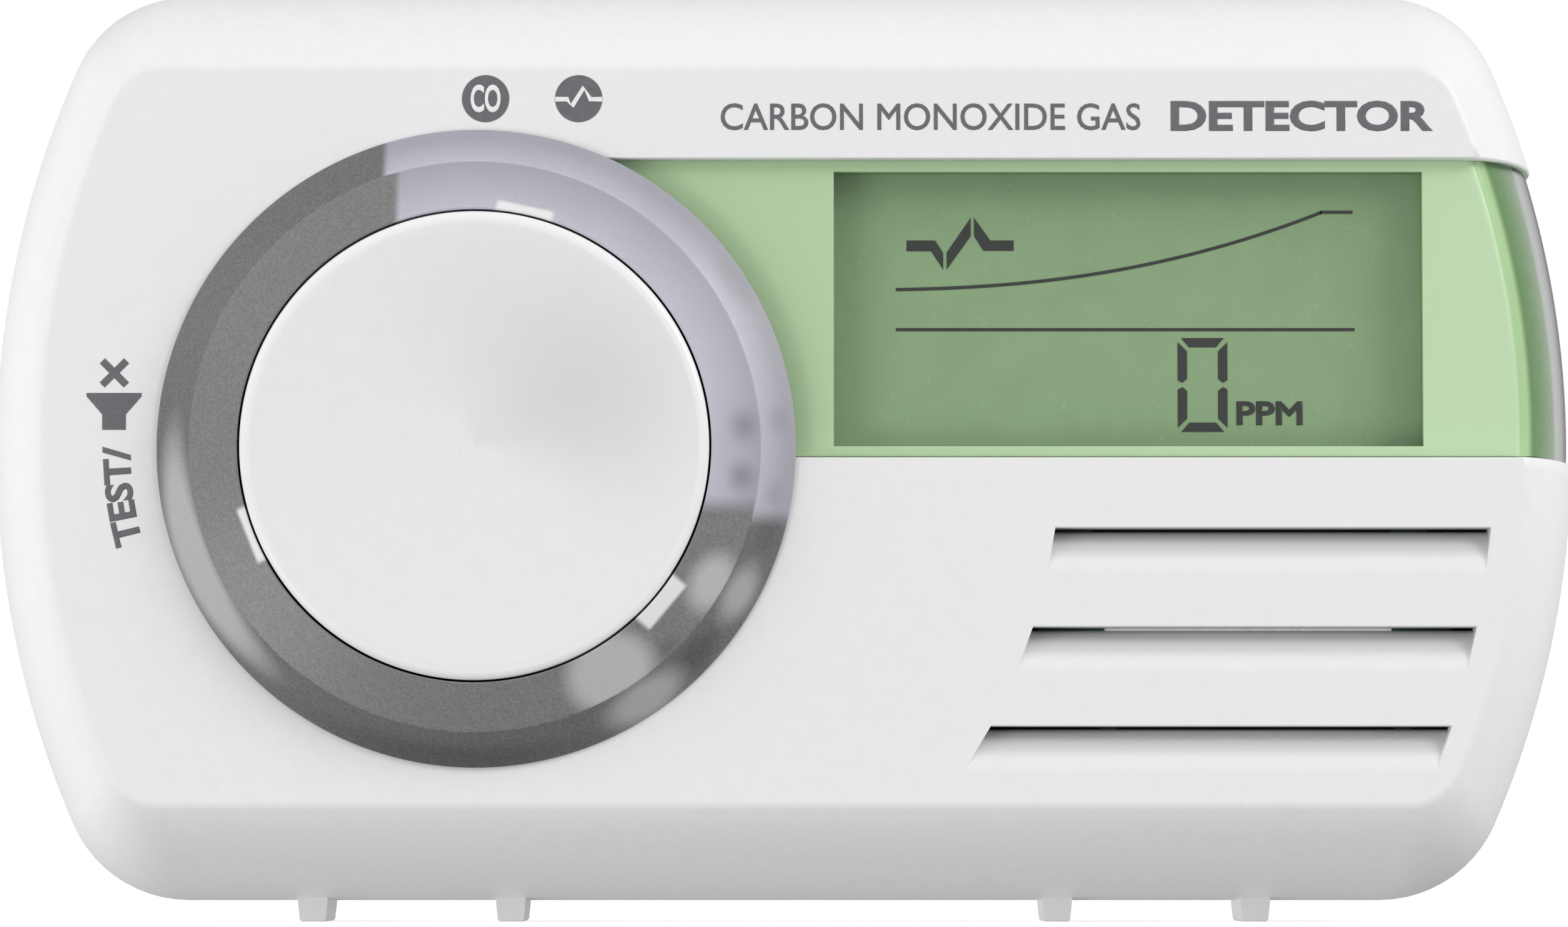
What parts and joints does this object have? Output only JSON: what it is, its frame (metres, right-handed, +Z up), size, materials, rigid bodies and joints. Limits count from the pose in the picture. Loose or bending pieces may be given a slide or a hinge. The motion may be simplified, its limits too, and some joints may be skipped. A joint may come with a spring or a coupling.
{
  "type": "carbon monoxide alarm",
  "caption": "Wall or shelf carbon monoxide alarm: rounded white casing, big round test button in a translucent ring, display window and louvred vents.",
  "frame": {"origin": "on the floor, under the middle of the body's box", "axes": "+X to the viewer's right as seen from the front, +Y from the front to the wall behind, +Z up; the display faces -Y"},
  "size_m": [0.1199, 0.04, 0.0706],
  "materials": {
    "white_casing": "satin",
    "white_button": "satin",
    "clear_window": "clear acrylic, polished",
    "green_bezel": "satin, light green",
    "white_plastic": "satin",
    "display_glass": "smooth",
    "diffuser": "frosted",
    "layered_rubber": "matt",
    "smoke_translucent": "frosted smoke grey",
    "clear_guide": "clear",
    "spring_steel": "bright",
    "black_plastic": "matt",
    "board_green": "solder mask",
    "chip_ceramic": "matt",
    "capacitor_sleeve": "smooth sleeve",
    "ferrite": "matt",
    "red_lens": "tinted",
    "green_lens": "tinted",
    "amber_lens": "tinted",
    "sensor_metal": "nickel plated",
    "filter_felt": "felt",
    "pin_metal": "gold plated",
    "brass_disc": "bright",
    "foam": "foam",
    "lead_red": "smooth",
    "cell_sleeve": "shrink sleeve",
    "tab_metal": "bright",
    "switch_metal": "plated",
    "slider_red": "satin",
    "screw_metal": "zinc plated",
    "label_film": "satin film"
  },
  "bodies": {
    "casing": {"front_casing": "white_casing", "rear_casing": "white_casing", "display_window": "clear_window", "display_bezel": "green_bezel", "lcd_frame": "white_plastic", "lcd_panel": "display_glass", "lcd_backlight": "diffuser", "contact_strips": "layered_rubber", "indicator_ring": "smoke_translucent", "light_guide": "clear_guide", "button_spring": "spring_steel", "test_switch": "black_plastic", "main_board": "board_green", "microcontroller": "black_plastic", "chip_parts": "chip_ceramic", "storage_capacitor": "capacitor_sleeve", "boost_inductor": "ferrite", "red_led": "red_lens", "green_led": "green_lens", "amber_led": "amber_lens", "sensor_board": "board_green", "sensor_cell": "sensor_metal", "sensor_shroud": "white_plastic", "sensor_filter": "filter_felt", "board_pins": "pin_metal", "sounder_housing": "white_plastic", "sounder_gasket": "foam", "piezo_disc": "brass_disc", "sounder_cover": "white_plastic", "sounder_leads": "lead_red", "lithium_cell": "cell_sleeve", "cell_tabs": "tab_metal", "cell_pad": "foam", "cell_leads": "lead_red", "activation_switch": "switch_metal", "board_screws": "screw_metal", "case_screws": "screw_metal", "rear_label": "label_film"},
    "button": {"test_button": "white_button"},
    "plunger": {"switch_plunger": "black_plastic"},
    "slider": {"activation_slider": "slider_red", "switch_lever": "black_plastic"}
  },
  "joints": [
    {"name": "button_press", "type": "slide", "parent": "casing", "child": "button", "axis": [0, 1, 0], "range_m": [0, 0.0008], "stiffness_N_per_m": 1500, "springref_m": -0.0004, "deforming": ["button_spring"]},
    {"name": "plunger_press", "type": "slide", "parent": "casing", "child": "plunger", "axis": [0, 1, 0], "range_m": [0, 0.0008]},
    {"name": "activation_slide", "type": "slide", "parent": "casing", "child": "slider", "axis": [-1, 0, 0], "range_m": [0, 0.003]}
  ],
  "couplings": [
    {"joint": "plunger_press", "follows": "button_press", "ratio": 1}
  ]
}
